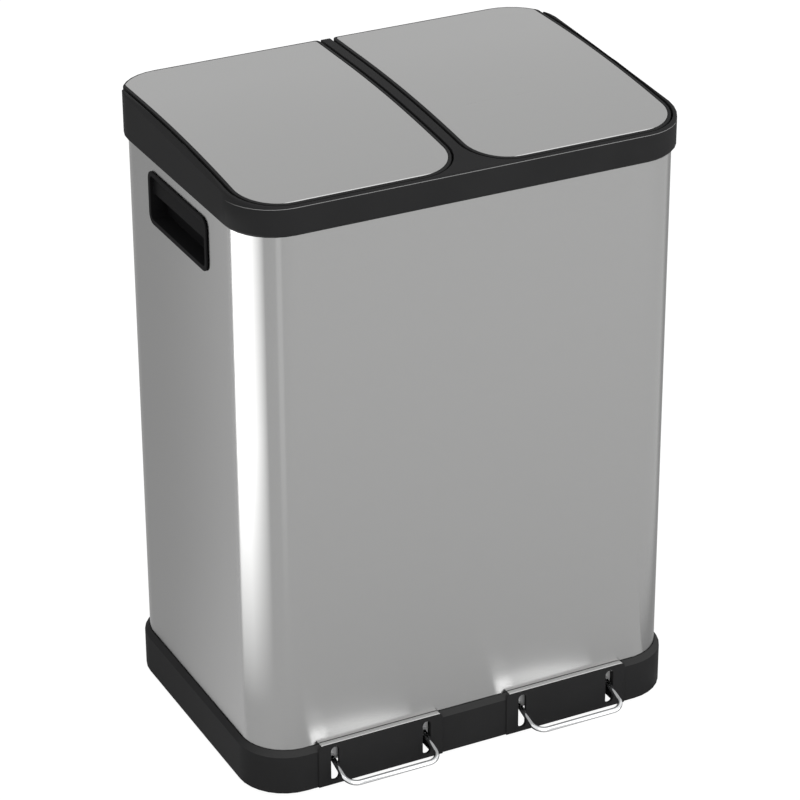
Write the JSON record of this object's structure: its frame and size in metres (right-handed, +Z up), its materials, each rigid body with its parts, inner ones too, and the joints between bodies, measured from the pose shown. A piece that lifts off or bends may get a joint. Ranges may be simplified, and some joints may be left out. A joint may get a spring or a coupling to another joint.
{
  "type": "double recycling bin",
  "caption": "Stainless pedal bin with compartments side by side, each with its own hinged lid, wire pedal and lift-out bucket.",
  "frame": {"origin": "on the floor, at the middle of the area that the foot ring and the pedals cover together", "axes": "+X to the right as seen from the front, -Y towards the pedals at the front, +Z up"},
  "size_m": [0.48, 0.3673, 0.6592],
  "materials": {
    "brushed_steel": "brushed",
    "black_plastic": "fine satin",
    "handle_plastic": "satin",
    "bucket_plastic": "satin",
    "chrome": "polished",
    "zinc_steel": "zinc plated",
    "rubber": "matt",
    "nylon": "natural"
  },
  "bodies": {
    "bin_body": {"base_floor": "black_plastic", "base_plinth": "black_plastic", "bracket_screw_inner_left": "zinc_steel", "bracket_screw_inner_right": "zinc_steel", "bracket_screw_outer_left": "zinc_steel", "bracket_screw_outer_right": "zinc_steel", "damper_body_left": "black_plastic", "damper_body_right": "black_plastic", "foot_front_left": "rubber", "foot_front_right": "rubber", "foot_rear_left": "rubber", "foot_rear_right": "rubber", "handle_cup_left": "handle_plastic", "handle_cup_right": "handle_plastic", "inner_bucket_left": "bucket_plastic", "inner_bucket_right": "bucket_plastic", "lid_bumper_inner_left": "rubber", "lid_bumper_inner_right": "rubber", "lid_bumper_outer_left": "rubber", "lid_bumper_outer_right": "rubber", "lid_hinge_rod_left": "zinc_steel", "lid_hinge_rod_right": "zinc_steel", "outer_shell": "brushed_steel", "pedal_axle_left": "zinc_steel", "pedal_axle_right": "zinc_steel", "pedal_bracket_inner_left": "zinc_steel", "pedal_bracket_inner_right": "zinc_steel", "pedal_bracket_outer_left": "zinc_steel", "pedal_bracket_outer_right": "zinc_steel", "push_rod_bush_left": "nylon", "push_rod_bush_right": "nylon", "top_collar": "black_plastic"},
    "lid_right": {"lid_frame_right": "black_plastic", "lid_skin_right": "brushed_steel"},
    "pedal_right": {"pedal_wire_right": "chrome", "pedal_lever_right": "zinc_steel"},
    "push_rod_right": {"push_rod_right": "zinc_steel", "damper_link_right": "nylon", "damper_piston_right": "chrome"},
    "lid_left": {"lid_frame_left": "black_plastic", "lid_skin_left": "brushed_steel"},
    "pedal_left": {"pedal_wire_left": "chrome", "pedal_lever_left": "zinc_steel"},
    "push_rod_left": {"push_rod_left": "zinc_steel", "damper_link_left": "nylon", "damper_piston_left": "chrome"}
  },
  "joints": [
    {"name": "lid_hinge_right", "type": "hinge", "parent": "bin_body", "child": "lid_right", "pos_m": [0.1199, 0.16972, 0.6502], "axis": [-1, 0, 0], "range_deg": [0, 78]},
    {"name": "pedal_hinge_right", "type": "hinge", "parent": "bin_body", "child": "pedal_right", "pos_m": [0.1065, -0.08098, 0.03], "axis": [1, 0, 0], "range_deg": [0, 7.15]},
    {"name": "push_rod_slide_right", "type": "slide", "parent": "bin_body", "child": "push_rod_right", "axis": [0, 0, 1], "range_m": [0, 0.0286]},
    {"name": "lid_hinge_left", "type": "hinge", "parent": "bin_body", "child": "lid_left", "pos_m": [-0.1199, 0.16972, 0.6502], "axis": [-1, 0, 0], "range_deg": [0, 78]},
    {"name": "pedal_hinge_left", "type": "hinge", "parent": "bin_body", "child": "pedal_left", "pos_m": [-0.1065, -0.08098, 0.03], "axis": [1, 0, 0], "range_deg": [0, 7.15]},
    {"name": "push_rod_slide_left", "type": "slide", "parent": "bin_body", "child": "push_rod_left", "axis": [0, 0, 1], "range_m": [0, 0.0286]}
  ],
  "couplings": [
    {"joint": "pedal_hinge_right", "follows": "lid_hinge_right", "ratio": 0.0916},
    {"joint": "push_rod_slide_right", "follows": "lid_hinge_right", "m_per_rad": 0.02098},
    {"joint": "pedal_hinge_left", "follows": "lid_hinge_left", "ratio": 0.0916},
    {"joint": "push_rod_slide_left", "follows": "lid_hinge_left", "m_per_rad": 0.02098}
  ]
}
